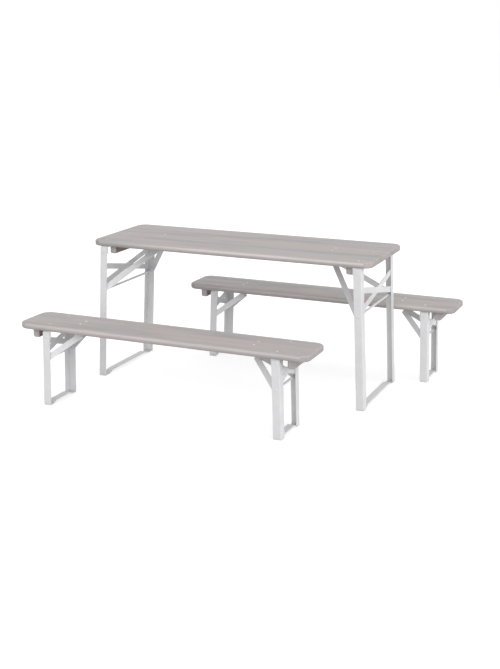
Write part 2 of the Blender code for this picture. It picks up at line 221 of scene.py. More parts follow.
class TABLESET_PG_wood(bpy.types.PropertyGroup):
    """Sizes and colours of the boards and battens."""

    plan_corner: length_setting("Plan corner", "Corner radius of a board seen from above", 0.035)
    arris: length_setting("Arris", "Rounding along a board's edges", 0.006)
    batten_rounding: length_setting("Batten rounding", "Rounding of a batten's long lower edges", 0.007)
    batten_easing: length_setting("Batten easing", "Rounding of a batten's other edges", 0.002)
    base: color_setting("Glaze", "Main tone of the glazed wood", (0.411, 0.386, 0.383))
    pink: color_setting("Pink streaks", "Warm streaks in the glaze", (0.472, 0.408, 0.405))
    tan: color_setting("Tan streaks", "Yellower streaks in the glaze", (0.419, 0.389, 0.366))
    grey: color_setting("Grey zones", "Cooler, darker zones of the glaze", (0.336, 0.324, 0.328))
    # Browner tone of the ends, also painted as shade along the lower side edges and on the battens'
    # inner sides
    brown_and_shade: color_setting("Edge wood", "Browner tone of the ends and lower edges", (0.20, 0.150, 0.130))
    # Painted highlight: paler glaze along the upper arris where the light catches it
    painted_highlight: color_setting("Worn arris", "Paler glaze along the upper edges", (0.64, 0.61, 0.597))


class TABLESET_PG_steel(bpy.types.PropertyGroup):
    """Sizes and colours of the painted steel."""

    edge: length_setting("Edge", "Softening of the cut edges", 0.0004)
    bend: length_setting("Bend", "Rounding of the bends in flat strips", 0.004)
    strap_bend: length_setting("Strap bend", "Rounding of the bends in the hinge straps", 0.0011)
    rod_radius: length_setting("Rod radius", "Radius of the brace rods", 0.0041)
    rivet_radius: length_setting("Rivet radius", "Radius of the riveted heads", 0.0055)
    rivet_height: length_setting("Rivet height", "Height of the riveted heads", 0.0011)
    bead_radius: length_setting("Bead radius", "Radius of the weld beads", 0.0017)
    paint: color_setting("Paint", "White paint on the steel", (0.703, 0.704, 0.714))
    dust: color_setting("Dust", "Grime low on the feet", (0.40, 0.375, 0.345))
    dust_height: length_setting("Dust height", "How high the grime reaches", 0.016)


class TABLESET_PG_screws(bpy.types.PropertyGroup):
    """Sizes and colours of the countersunk screws."""

    head_radius: length_setting("Head radius", "Radius of a screw's head", 0.0042)
    thread_radius: length_setting("Thread radius", "Radius of a screw below its head", 0.0016)
    sunk: length_setting("Sunk", "How far a head lies below the board", 0.0002)
    length: length_setting("Length", "Length of a screw", 0.014)
    plate: color_setting("Plating", "Pale plating of the screws", (0.93, 0.88, 0.78))
    tarnish: color_setting("Tarnish", "Darker patches of the plating", (0.66, 0.52, 0.38))
    seed: IntProperty(name="Seed", description="Seed of the turns of the screws' slots", default=7)


class TABLESET_PG_stage(bpy.types.PropertyGroup):
    """Floor, light and camera."""

    floor: color_setting("Floor", "Colour of the floor", (0.50, 0.50, 0.50))
    lift: FloatProperty(name="Lift", description="Brightness the camera adds to the floor", default=0.66)
    ambient: FloatProperty(name="Ambient", description="Even light from all round", default=0.70)
    front: FloatProperty(name="Front", description="Strength of the low front light", default=1.30)
    side: FloatProperty(name="Side", description="Strength of the low side light", default=1.18)
    key: FloatProperty(name="Key", description="Strength of the light overhead", default=0.64)
    lens: FloatProperty(
        name="Lens", description="Focal length of the camera in mm", default=60.505, unit="CAMERA"
    )


def settings(name):
    return getattr(bpy.context.scene, f"tableset_{name}")


def math_node(tree, operation, first, second=None, third=None):
    """One sum on values or sockets."""
    made = tree.nodes.new("ShaderNodeMath")
    made.operation = operation
    for socket, value in zip(made.inputs, (first, second, third)):
        if value is None:
            continue
        if isinstance(value, (int, float)):
            socket.default_value = value
        else:
            tree.links.new(value, socket)
    return made.outputs[0]


def span(tree, value, low, high, new_low=0, new_high=1):
    """Map a value smoothly from one span to another."""
    made = tree.nodes.new("ShaderNodeMapRange")
    made.interpolation_type = "SMOOTHSTEP"
    made.inputs["From Min"].default_value = low
    made.inputs["From Max"].default_value = high
    made.inputs["To Min"].default_value = new_low
    made.inputs["To Max"].default_value = new_high
    tree.links.new(value, made.inputs["Value"])
    return made.outputs["Result"]


def blend_color(tree, share, first, second):
    """Blend from one colour to another by a share; each may be a value or a socket."""
    made = tree.nodes.new("ShaderNodeMix")
    made.data_type = "RGBA"
    for socket, value in zip((made.inputs[0], made.inputs[6], made.inputs[7]), (share, first, second)):
        if isinstance(value, (int, float)):
            socket.default_value = value
        elif isinstance(value, tuple):
            socket.default_value = (*value, 1)
        else:
            tree.links.new(value, socket)
    return made.outputs[2]


def noise(tree, vector, stretch, detail, roughness, distortion):
    """Noise on the coordinates after stretching them by three factors."""
    mapping = tree.nodes.new("ShaderNodeMapping")
    mapping.inputs["Scale"].default_value = stretch
    tree.links.new(vector, mapping.inputs["Vector"])
    made = tree.nodes.new("ShaderNodeTexNoise")
    made.inputs["Scale"].default_value = 1
    made.inputs["Detail"].default_value = detail
    made.inputs["Roughness"].default_value = roughness
    made.inputs["Distortion"].default_value = distortion
    tree.links.new(mapping.outputs["Vector"], made.inputs["Vector"])
    return made.outputs[0]


def noises(tree, vector, layers):
    """One noise for each layer of a surface, in the layers' order."""
    return [noise(tree, vector, *layer) for layer in layers.values()]


def coordinates(tree, vector):
    """The X, Y and Z of a vector."""
    made = tree.nodes.new("ShaderNodeSeparateXYZ")
    tree.links.new(vector, made.inputs[0])
    return made.outputs["X"], made.outputs["Y"], made.outputs["Z"]


def scaled(values, share):
    return tuple(share * value for value in values)


def new_group(name, inputs, outputs):
    """Start a shader node group and return its tree, its inputs and its output node."""
    tree = bpy.data.node_groups.new(name, "ShaderNodeTree")
    for label, kind in inputs.items():
        tree.interface.new_socket(label, in_out="INPUT", socket_type=kind)
    for label, kind in outputs.items():
        tree.interface.new_socket(label, in_out="OUTPUT", socket_type=kind)
    return tree, tree.nodes.new("NodeGroupInput").outputs, tree.nodes.new("NodeGroupOutput").inputs


def grain_group():
    """Glazed wood whose grain runs along the first coordinate."""
    wood = settings("wood")
    inputs = {"Vector": "NodeSocketVector", "Bare": "NodeSocketFloat", "Worn": "NodeSocketFloat"}
    tree, given, put = new_group("glazed_grain", inputs, SURFACE_OUTPUTS)
    zones, drift, streaks, second, fibres, pores = noises(tree, given["Vector"], GRAIN_LAYERS)
    color = blend_color(tree, span(tree, drift, 0.42, 0.62), tuple(wood.base), tuple(wood.tan))
    color = blend_color(tree, span(tree, zones, 0.46, 0.34, 0, 0.35), color, tuple(wood.pink))
    color = blend_color(tree, span(tree, zones, 0.46, 0.64, 0, 1), color, tuple(wood.grey))
    color = blend_color(tree, span(tree, streaks, 0.48, 0.64, 0, 0.8), color, tuple(wood.pink))
    color = blend_color(tree, span(tree, second, 0.44, 0.30, 0, 0.20), color, scaled(wood.grey, 0.62))
    color = blend_color(tree, span(tree, fibres, 0.5, 0.30, 0, 0.14), color, scaled(wood.grey, 0.5))
    open_pores = span(tree, pores, 0.34, 0.26)
    color = blend_color(tree, math_node(tree, "MULTIPLY", open_pores, 0.3), color, PORE_COLOR)
    # Browner at the ends; painted shade on the lower side edges and the battens' inner sides
    color = blend_color(tree, given["Bare"], color, tuple(wood.brown_and_shade))
    # Painted highlight along the upper arris, broken up by the streaks
    painted_highlight = math_node(tree, "MULTIPLY", given["Worn"], span(tree, streaks, 0.25, 0.60, 0.55, 1.0))
    color = blend_color(tree, painted_highlight, color, tuple(wood.painted_highlight))
    tree.links.new(color, put["Color"])
    rough = span(tree, streaks, 0.3, 0.7, 0.56, 0.70)
    tree.links.new(math_node(tree, "MULTIPLY_ADD", open_pores, 0.25, rough), put["Roughness"])
    height = math_node(tree, "MULTIPLY_ADD", fibres, 0.5, math_node(tree, "MULTIPLY", second, 0.8))
    tree.links.new(math_node(tree, "SUBTRACT", height, open_pores), put["Height"])


def paint_group():
    """Sprayed white paint with a fine orange peel, grimy near the floor."""
    steel = settings("steel")
    tree, given, put = new_group("sprayed_paint", {"Vector": "NodeSocketVector"}, SURFACE_OUTPUTS)
    cloud, fine, peel = noises(tree, given["Vector"], PAINT_LAYERS)
    height = coordinates(tree, given["Vector"])[2]
    low = span(tree, height, steel.dust_height, 0)
    patchy = math_node(tree, "MULTIPLY", low, span(tree, fine, 0.42, 0.66))
    cloudy = span(tree, cloud, 0.3, 0.7)
    color = blend_color(tree, cloudy, tuple(steel.paint), scaled(steel.paint, 0.96))
    color = blend_color(tree, span(tree, fine, 0.70, 0.76, 0, 0.35), color, scaled(steel.paint, 0.7))
    color = blend_color(tree, math_node(tree, "MULTIPLY", patchy, 0.30), color, tuple(steel.dust))
    tree.links.new(color, put["Color"])
    rough = span(tree, cloud, 0.3, 0.7, 0.30, 0.42)
    tree.links.new(math_node(tree, "MULTIPLY_ADD", patchy, 0.3, rough), put["Roughness"])
    tree.links.new(math_node(tree, "MULTIPLY_ADD", fine, 0.4, peel), put["Height"])


def plate_group():
    """Pale plating with darker patches, under as much glaze as a material asks for."""
    screws = settings("screws")
    inputs = {"Vector": "NodeSocketVector", "Glazed": "NodeSocketFloat"}
    tree, given, put = new_group("screw_plate", inputs, SURFACE_OUTPUTS)
    patches, grains = noises(tree, given["Vector"], PLATE_LAYERS)
    tarnished = span(tree, patches, 0.5, 0.7, 0, 0.6)
    color = blend_color(tree, tarnished, tuple(screws.plate), tuple(screws.tarnish))
    color = blend_color(tree, given["Glazed"], color, tuple(settings("wood").pink))
    tree.links.new(color, put["Color"])
    tree.links.new(span(tree, patches, 0.3, 0.7, 0.30, 0.52), put["Roughness"])
    tree.links.new(grains, put["Height"])


def edges_group():
    """Where a board's ends are browner, where painted shade darkens its lower side edges and where a
    painted highlight pales its upper arris, for a board of any size.
    """
    inputs = {"Vector": "NodeSocketVector", "Middle": "NodeSocketVector", "Half": "NodeSocketVector"}
    inputs |= {"Left": "NodeSocketFloat", "Right": "NodeSocketFloat"}
    outputs = {"Bare": "NodeSocketFloat", "Worn": "NodeSocketFloat"}
    tree, given, put = new_group("board_edges", inputs, outputs)
    offset = tree.nodes.new("ShaderNodeVectorMath")
    offset.operation = "SUBTRACT"
    tree.links.new(given["Vector"], offset.inputs[0])
    tree.links.new(given["Middle"], offset.inputs[1])
    along, across, height = coordinates(tree, offset.outputs["Vector"])
    half_along, half_across, half_height = coordinates(tree, given["Half"])
    from_end = math_node(tree, "SUBTRACT", half_along, math_node(tree, "ABSOLUTE", along))
    from_side = math_node(tree, "SUBTRACT", half_across, math_node(tree, "ABSOLUTE", across))
    from_top = math_node(tree, "SUBTRACT", half_height, height)
    # Painted shade: browner along the lower part of the side edges, where they turn under
    under = span(tree, from_top, *PAINTED_SHADE_UNDER, 0, PAINTED_SHADE_SHARE)
    sides = math_node(tree, "MULTIPLY", span(tree, from_side, *PAINTED_SHADE_SIDES), under)
    ends = span(tree, from_end, *BARE_ENDS, 0, BARE_END_SHARE)
    tree.links.new(math_node(tree, "MAXIMUM", ends, sides), put["Bare"])
    # Painted highlight: paler along the upper arris, growing from the left end to the middle as the
    # light falls from the right
    highlight_upper = span(tree, from_top, *HIGHLIGHT_UPPER)
    arris = math_node(tree, "MULTIPLY", span(tree, from_side, *HIGHLIGHT_SIDES), highlight_upper)
    rise = span(tree, math_node(tree, "DIVIDE", along, half_along), -1, 0)
    gain = math_node(tree, "SUBTRACT", given["Right"], given["Left"])
    share = math_node(tree, "MULTIPLY_ADD", rise, gain, given["Left"])
    tree.links.new(math_node(tree, "MULTIPLY", arris, share), put["Worn"])


def batten_shade_group():
    """Painted shade: browner wood on the side of a batten that faces the middle of its board, under the
    board. Turn is 1 where it faces right and -1 where left.
    """
    inputs = {"Vector": "NodeSocketVector", "Side": "NodeSocketFloat", "Turn": "NodeSocketFloat"}
    tree, given, put = new_group("batten_stain", inputs, {"Bare": "NodeSocketFloat"})
    along = coordinates(tree, given["Vector"])[0]
    distance = math_node(tree, "SUBTRACT", given["Side"], along)
    inwards = math_node(tree, "MULTIPLY", distance, given["Turn"])
    tree.links.new(span(tree, inwards, *BATTEN_SHADE_SIDE, 0, BATTEN_SHADE_SHARE), put["Bare"])


def placed(tree, group, **values):
    """A node group placed in a material with its own values; gives the group's outputs."""
    made = tree.nodes.new("ShaderNodeGroup")
    made.node_tree = bpy.data.node_groups[group]
    for label, value in values.items():
        if isinstance(value, bpy.types.NodeSocket):
            tree.links.new(value, made.inputs[label])
        else:
            made.inputs[label].default_value = value
    return made.outputs


def surfaced(name, group, metallic, coat, depth, vector_of, masks_of=None):
    """A material whose group feeds its colour, roughness and relief."""
    material = bpy.data.materials.new(name)
    material.use_nodes = True
    tree = material.node_tree
    shader = tree.nodes["Principled BSDF"]
    shader.inputs["Metallic"].default_value = metallic
    shader.inputs["Coat Weight"].default_value = coat
    shader.inputs["Coat Roughness"].default_value = COAT_ROUGHNESS
    masks = masks_of(tree) if masks_of else {}
    surface = placed(tree, group, Vector=vector_of(tree), **masks)
    tree.links.new(surface["Color"], shader.inputs["Base Color"])
    tree.links.new(surface["Roughness"], shader.inputs["Roughness"])
    relief = tree.nodes.new("ShaderNodeBump")
    relief.inputs["Strength"].default_value = RELIEF_STRENGTH
    relief.inputs["Distance"].default_value = depth
    tree.links.new(surface["Height"], relief.inputs["Height"])
    tree.links.new(relief.outputs["Normal"], shader.inputs["Normal"])
    return material


def object_vector(tree):
    return tree.nodes.new("ShaderNodeTexCoord").outputs["Object"]


def shifted_vector(shift, turned):
    """Coordinates moved to another stretch of grain, turned where it runs along Y."""

    def build(tree):
        mapping = tree.nodes.new("ShaderNodeMapping")
        mapping.inputs["Location"].default_value = shift
        mapping.inputs["Rotation"].default_value = (0, 0, math.radians(90) if turned else 0)
        tree.links.new(object_vector(tree), mapping.inputs["Vector"])
        return mapping.outputs["Vector"]

    return build


def board_masks(low, high, left, right):
    """The edge masks of one board."""

    def build(tree):
        size = {"Middle": (low + high) / 2, "Half": (high - low) / 2}
        edges = placed(tree, "board_edges", Vector=object_vector(tree), Left=left, Right=right, **size)
        return {"Bare": edges["Bare"], "Worn": edges["Worn"]}

    return build


def batten_masks(low, high, side):
    """The painted shade on the side of one batten that faces the middle of its board."""

    def build(tree):
        inner, turn = (high.x, 1) if side == "left" else (low.x, -1)
        shade_mask = placed(tree, "batten_stain", Vector=object_vector(tree), Side=inner, Turn=turn)
        return {"Bare": shade_mask["Bare"]}

    return build


def glazed_over(tree):
    return {"Glazed": GLAZED_SHARE}


def deselect():
    bpy.ops.object.select_all(action="DESELECT")


def select_only(piece):
    deselect()
    piece.select_set(True)
    bpy.context.view_layer.objects.active = piece


def edit(piece, kind):
    """Go into edit mode on one piece with nothing selected."""
    select_only(piece)
    bpy.ops.object.mode_set(mode="EDIT")
    bpy.ops.mesh.select_mode(type=kind)
    bpy.ops.mesh.select_all(action="DESELECT")


def leave_edit():
    bpy.ops.object.mode_set(mode="OBJECT")


def pick_edges(piece, wanted):
    """Select the edges whose two ends pass a test, and stay in edit mode."""
    edit(piece, "EDGE")
    leave_edit()
    points = piece.data.vertices
    for edge in piece.data.edges:
        first, second = (points[index].co for index in edge.vertices)
        edge.select = bool(wanted(first, second))
    bpy.ops.object.mode_set(mode="EDIT")


def pick_faces(piece, wanted):
    """Select the faces that pass a test, and stay in edit mode."""
    edit(piece, "FACE")
    leave_edit()
    for face in piece.data.polygons:
        face.select = bool(wanted(face))
    bpy.ops.object.mode_set(mode="EDIT")


def bevel_picked(width, segments):
    bpy.ops.mesh.bevel(offset=width, segments=segments, profile=0.5, affect="EDGES")
    leave_edit()


def apply_modifiers(piece):
    select_only(piece)
    for modifier in list(piece.modifiers):
        bpy.ops.object.modifier_apply(modifier=modifier.name)


def eased(piece, width, segments, angle):
    """Bevel the edges that turn by more than an angle."""
    modifier = piece.modifiers.new("edges", "BEVEL")
    modifier.width = width
    modifier.segments = segments
    modifier.limit_method = "ANGLE"
    modifier.angle_limit = angle
    apply_modifiers(piece)


def block(name, low, high):
    """A solid between two corners, made from a cube at its size and place."""
    deselect()
    bpy.ops.mesh.primitive_cube_add(size=1, location=(low + high) / 2, scale=high - low)
    piece = bpy.context.object
    piece.name = name
    piece.data.name = name
    bpy.ops.object.transform_apply(location=True, rotation=True, scale=True)
    return piece


def spun(name, profile, place, axis, steps):
    """Spin a profile of (place along an axis, radius) pairs about that axis."""
    axis = Vector(axis).normalized()
    beside = axis.orthogonal().normalized()
    path = [Vector(place) + axis * along + beside * radius for along, radius in profile]
    deselect()
    bpy.ops.mesh.primitive_plane_add(size=NARROW, location=path[0])
    piece = bpy.context.object
    piece.name = name
    piece.data.name = name
    bpy.ops.object.transform_apply(location=True, rotation=True, scale=True)
    bpy.ops.object.mode_set(mode="EDIT")
    bpy.ops.mesh.select_mode(type="VERT")
    bpy.ops.mesh.select_all(action="SELECT")
    bpy.ops.mesh.merge(type="CENTER")
    for start, end in zip(path, path[1:]):
        bpy.ops.mesh.extrude_vertices_move(TRANSFORM_OT_translate={"value": end - start})
    bpy.ops.mesh.select_all(action="SELECT")
    bpy.ops.mesh.spin(steps=steps, angle=math.tau, center=place, axis=axis)
    bpy.ops.mesh.select_all(action="SELECT")
    bpy.ops.mesh.remove_doubles(threshold=MERGE)
    bpy.ops.mesh.normals_make_consistent(inside=False)
    leave_edit()
    return piece


def cut(piece, cutter):
    modifier = piece.modifiers.new("cut", "BOOLEAN")
    modifier.operation = "DIFFERENCE"
    modifier.solver = "EXACT"
    modifier.object = cutter
    apply_modifiers(piece)
    bpy.data.objects.remove(cutter)


def join(name, pieces):
    deselect()
    for piece in pieces:
        piece.select_set(True)
    bpy.context.view_layer.objects.active = pieces[0]
    if len(pieces) > 1:
        bpy.ops.object.join()
    pieces[0].name = name
    pieces[0].data.name = name
    return pieces[0]


def copied(name, piece, matrix):
    """A copy with a mesh of its own, moved within that mesh."""
    made = bpy.data.objects.new(name, piece.data.copy())
    bpy.context.scene.collection.objects.link(made)
    made.data.name = name
    made.data.transform(matrix)
    return made


def smooth(piece):
    """Round the shading over small angles, the large faces staying flat."""
    select_only(piece)
    bpy.ops.object.shade_smooth_by_angle(angle=SMOOTH_ANGLE)
    modifier = piece.modifiers.new("normals", "WEIGHTED_NORMAL")
    modifier.keep_sharp = True
    apply_modifiers(piece)


def finish_piece(piece, material, body, slot, *nodes):
    """Give a piece its material and say what it moves with and stands for."""
    piece.data.materials.clear()
    piece.data.materials.append(material)
    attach(piece, body)
    if nodes:
        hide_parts(*nodes)


def softened(node, bend=0, bend_limits=STRIP_BENDS, bend_test=None):
    """A copy of a CAD node, its bends rounded and its cut edges softened."""
    piece = bpy.data.objects.new(f"{node}_painted", frame["nodes"][node].data.copy())
    piece.data.name = piece.name
    bpy.context.scene.collection.objects.link(piece)
    edit(piece, "VERT")
    bpy.ops.mesh.select_all(action="SELECT")
    bpy.ops.mesh.remove_doubles(threshold=MERGE)
    bpy.ops.mesh.normals_make_consistent(inside=False)
    bpy.ops.mesh.dissolve_limited(angle_limit=FLAT_ANGLE, delimit=set())
    leave_edit()
    if bend:
        turns = edge_turns(piece)
        low, high = (math.radians(limit) for limit in bend_limits)
        chosen = {key for key, turn in turns.items() if low < turn < high}
        points = piece.data.vertices
        edit(piece, "EDGE")
        leave_edit()
        for edge in piece.data.edges:
            first, second = (points[index].co for index in edge.vertices)
            long_enough = (first - second).length > SHORTEST_BEND
            fits = bend_test is None or bend_test(first, second)
            edge.select = edge.key in chosen and long_enough and fits
        bpy.ops.object.mode_set(mode="EDIT")
        bevel_picked(bend, BEND_STEPS)
    eased(piece, settings("steel").edge, EDGE_STEPS, EDGE_ANGLE)
    smooth(piece)
    return piece


def edge_turns(piece):
    """The angle between the two faces beside each edge."""
    beside = {}
    for face in piece.data.polygons:
        for key in face.edge_keys:
            beside.setdefault(key, []).append(face.normal.copy())
    return {key: pair[0].angle(pair[1]) for key, pair in beside.items() if len(pair) == 2}


def along_x(first, second):
    step = second - first
    return abs(step.x) > 0.9 * step.length


class Step:
    """What the operators share."""

    bl_options = {"REGISTER"}


def wood_material(node, vector_of, masks_of):
    return surfaced(f"{node}_glaze", "glazed_grain", 0, WOOD_COAT, WOOD_RELIEF, vector_of, masks_of)


def paint_material(name):
    return surfaced(name, "sprayed_paint", 0, PAINT_COAT, PAINT_RELIEF, object_vector)


def seat_profile(screws):
    """Profile of the sunk seat of a screw, running out above the board and below the screw."""
    wide = screws.head_radius + SEAT_ROOM
    hole = screws.thread_radius + THREAD_ROOM
    bottom = -screws.length - THREAD_PAST
    funnel = [(SEAT_PAST, wide), (0, wide), (-HEAD_DEPTH, hole), (bottom, hole)]
    return [(SEAT_PAST, 0), *funnel, (bottom, 0)]


class TABLESET_OT_boards(Step, bpy.types.Operator):
    """Model the three boards, with a sunk seat for each screw"""

    bl_idname = "tableset.boards"
    bl_label = "Boards"

    def execute(self, context):
        wood = settings("wood")
        screws = settings("screws")
        profile = seat_profile(screws)
        for number, unit in enumerate(UNITS):
            node = f"{unit}_board"
            low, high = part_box(node)
            piece = block(f"{node}_glazed", low, high)
            pick_edges(piece, lambda a, b: abs(a.z - b.z) > NARROW)
            bevel_picked(wood.plan_corner, CORNER_STEPS)
            pick_edges(piece, lambda a, b: abs(a.z - b.z) < NARROW)
            bevel_picked(wood.arris, ARRIS_STEPS)
            seats = [spun("seat", profile, spot, (0, 0, 1), SCREW_STEPS) for spot in screw_places(unit)]
            cut(piece, join("seats", seats))
            smooth(piece)
            vector_of = shifted_vector(scaled(BOARD_SHIFT, number), False)
            material = wood_material(node, vector_of, board_masks(low, high, *HIGHLIGHT_SHARES[unit]))
            finish_piece(piece, material, SEATS[unit], node, node)
        return {"FINISHED"}


class TABLESET_OT_battens(Step, bpy.types.Operator):
    """Model the six battens under the boards"""

    bl_idname = "tableset.battens"
    bl_label = "Battens"

    def execute(self, context):
        wood = settings("wood")
        for unit, side in LEGS:
            node = f"{unit}_{side}_batten"
            low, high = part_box(node)
            piece = block(f"{node}_glazed", low, high)
            bottom = low.z + NARROW
            pick_edges(piece, lambda a, b: max(a.z, b.z) < bottom and abs(a.x - b.x) < NARROW)
            bevel_picked(wood.batten_rounding, BATTEN_STEPS)
            eased(piece, wood.batten_easing, EASING_STEPS, SMOOTH_ANGLE)
            smooth(piece)
            shift = (BATTEN_SHIFT * UNITS.index(unit), BATTEN_SIDE_SHIFT[side], BATTEN_RISE)
            material = wood_material(node, shifted_vector(shift, True), batten_masks(low, high, side))
            finish_piece(piece, material, SEATS[unit], node, node)
        return {"FINISHED"}


def screw_places(unit):
    """Where the screws' heads lie in a board: over the straps and the catches."""
    places = []
    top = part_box(f"{unit}_board")[1].z
    for side in SIDES:
        low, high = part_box(f"{unit}_{side}_hinge_strap")
        middle = (low + high) / 2
        places += [Vector((middle.x, middle.y + row, top)) for row in STRAP_SCREWS[unit]]
        low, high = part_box(f"{unit}_{side}_brace_catch")
        middle = (low + high) / 2
        along = high.x - CATCH_SCREW_INSET if side == "left" else low.x + CATCH_SCREW_INSET
        places += [Vector((along, middle.y + row, top)) for row in CATCH_SCREWS]
    return places


class TABLESET_OT_screws(Step, bpy.types.Operator):
    """Model one countersunk screw with a cross slot and copy it"""

    bl_idname = "tableset.screws"
    bl_label = "Screws"

    def execute(self, context):
        screws = settings("screws")
        radius = screws.head_radius
        profile = [
            (0, 0),
            (0, radius - HEAD_RIM),
            (-HEAD_RIM, radius),
            (-HEAD_DEPTH, screws.thread_radius),
            (-screws.length, screws.thread_radius),
            (-screws.length, 0),
        ]
        pattern = spun("screw", profile, (0, 0, 0), (0, 0, 1), SCREW_STEPS)
        reach = radius * SLOT_REACH
        for long, wide in ((reach, SLOT_HALF_WIDTH), (SLOT_HALF_WIDTH, reach)):
            arm = block("arm", Vector((-long, -wide, -SLOT_DEPTH)), Vector((long, wide, SLOT_TOP)))
            pick_faces(arm, lambda face: face.center.z < NARROW - SLOT_DEPTH)
            bpy.ops.transform.resize(value=(SLOT_TAPER, SLOT_TAPER, 1))
            leave_edit()
            cut(pattern, arm)
        smooth(pattern)
        plated = surfaced("screw_plating", "screw_plate", PLATE_METALLIC, 0, PLATE_RELIEF, object_vector)
        glazed = surfaced(
            "screw_glazed_over", "screw_plate", 0, 0, PLATE_RELIEF, object_vector, glazed_over
        )
        random.seed(screws.seed)
        for unit in UNITS:
            for number, spot in enumerate(screw_places(unit)):
                turn = Matrix.Rotation(random.uniform(0, math.pi / 2), 4, "Z")
                matrix = Matrix.Translation(spot - Vector((0, 0, screws.sunk))) @ turn
                piece = copied(f"{unit}_screw_{number + 1}", pattern, matrix)
                material = glazed if number in GLAZED_SCREWS[unit] else plated
                finish_piece(piece, material, SEATS[unit], f"{unit}_left_hinge_strap")
        bpy.data.objects.remove(pattern)
        return {"FINISHED"}


def leg_pieces(ending, **bends):
    """Soften the copies of one kind of node in every leg frame and paint them."""
    for unit, side in LEGS:
        node = f"{unit}_{side}_{ending}"
        body = next(name for name, nodes in BODIES.items() if node in nodes)
        finish_piece(softened(node, **bends), paint_material(f"{node}_paint"), body, node, node)


class TABLESET_OT_uprights(Step, bpy.types.Operator):
    """Soften and paint the angle iron uprights"""

    bl_idname = "tableset.uprights"
    bl_label = "Uprights"

    def execute(self, context):
        leg_pieces("near_upright")
        leg_pieces("rear_upright")
        return {"FINISHED"}


class TABLESET_OT_foot_strips(Step, bpy.types.Operator):
    """Round the bends of the foot strips and paint them"""

    bl_idname = "tableset.foot_strips"
    bl_label = "Foot strips"

    def execute(self, context):
        leg_pieces("foot_strip", bend=settings("steel").bend)
        return {"FINISHED"}


class TABLESET_OT_cross_braces(Step, bpy.types.Operator):
    """Soften and paint the cross braces"""

    bl_idname = "tableset.cross_braces"
    bl_label = "Cross braces"

    def execute(self, context):
        leg_pieces("cross_brace")
        return {"FINISHED"}


class TABLESET_OT_brace_strips(Step, bpy.types.Operator):
    """Round the bends of the brace strips and paint them"""

    bl_idname = "tableset.brace_strips"
    bl_label = "Brace strips"

    def execute(self, context):
        leg_pieces("brace_strip", bend=settings("steel").bend)
        return {"FINISHED"}


class TABLESET_OT_brace_catches(Step, bpy.types.Operator):
    """Soften and paint the brace catches"""

    bl_idname = "tableset.brace_catches"
    bl_label = "Brace catches"

    def execute(self, context):
        leg_pieces("brace_catch")
        return {"FINISHED"}


class TABLESET_OT_hinge_straps(Step, bpy.types.Operator):
    """Round the turned ends of the hinge straps and paint them"""

    bl_idname = "tableset.hinge_straps"
    bl_label = "Hinge straps"

    def execute(self, context):
        bend = settings("steel").strap_bend
        leg_pieces("hinge_strap", bend=bend, bend_limits=STRAP_BENDS, bend_test=along_x)
        return {"FINISHED"}


def dome(radius, height):
    """Profile of a rivet's head from its middle outwards, standing on zero."""
    points = [(height, 0)]
    for step in range(1, DOME_STEPS + 1):
        angle = math.radians(90 * step / DOME_STEPS)
        points.append((height * math.cos(angle), radius * math.sin(angle)))
    return points


class TABLESET_OT_brace_rods(Step, bpy.types.Operator):
    """Model the brace rods with their riveted heads"""

    bl_idname = "tableset.brace_rods"
    bl_label = "Brace rods"

    def execute(self, context):
        steel = settings("steel")
        head = dome(steel.rivet_radius, steel.rivet_height)
        for unit, side in LEGS:
            node = f"{unit}_{side}_brace_rod"
            low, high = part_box(node)
            middle = (low + high) / 2
            face = (high.y - low.y) / 2 - RIVET_INSET
            profile = [(face + along, radius) for along, radius in head]
            profile.append((face, steel.rod_radius))
            profile += [(-along, radius) for along, radius in profile[::-1]]
            piece = spun(f"{node}_riveted", profile, middle, (0, 1, 0), RIVET_STEPS)
            smooth(piece)
            finish_piece(piece, paint_material(f"{node}_paint"), f"{unit}_{side}_leg", node, node)
        return {"FINISHED"}


class TABLESET_OT_rivets(Step, bpy.types.Operator):
    """Dome the heads of the hinge rivets on the outside of the uprights"""

    bl_idname = "tableset.rivets"
    bl_label = "Hinge rivets"

    def execute(self, context):
        steel = settings("steel")
        profile = dome(steel.rivet_radius, steel.rivet_height)
        profile += [(-RIVET_FOOT, steel.rivet_radius), (-RIVET_FOOT, 0)]
        for unit, side in LEGS:
            node = f"{unit}_{side}_hinge_strap"
            low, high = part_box(node)
            hinge = hinge_place(unit, side)
            for end, edge, turn in (("near", low.y, -1), ("rear", high.y, 1)):
                name = f"{unit}_{side}_{end}_rivet"
                spot = (hinge.x, edge - turn * RIVET_INSET, hinge.z)
                piece = spun(name, profile, spot, (0, turn, 0), RIVET_STEPS)
                smooth(piece)
                finish_piece(piece, paint_material(f"{name}_paint"), SEATS[unit], node)
        return {"FINISHED"}


def hinge_place(unit, side):
    """Where the axis of a leg frame's hinge lies."""
    name = f"{unit}_{side}_leg_fold"
    return Vector(next(joint["pos_m"] for joint in JOINTS if joint["name"] == name))


def bead(name, start, end, radius):
    """A weld bead with ripples, thinner towards both ends."""
    run = end - start
    steps = max(8, round(run.length / RIPPLE_LENGTH))
    profile = [(0, 0)]
    for step in range(1, steps):
        share = step / steps
        swell = min(1, BEAD_END + BEAD_SWELL * min(share, 1 - share))
        ripple = 1 - RIPPLE_DEPTH * (step % 2)
        profile.append((run.length * share, radius * swell * ripple))
    profile.append((run.length, 0))
    return spun(name, profile, start, run, BEAD_STEPS)


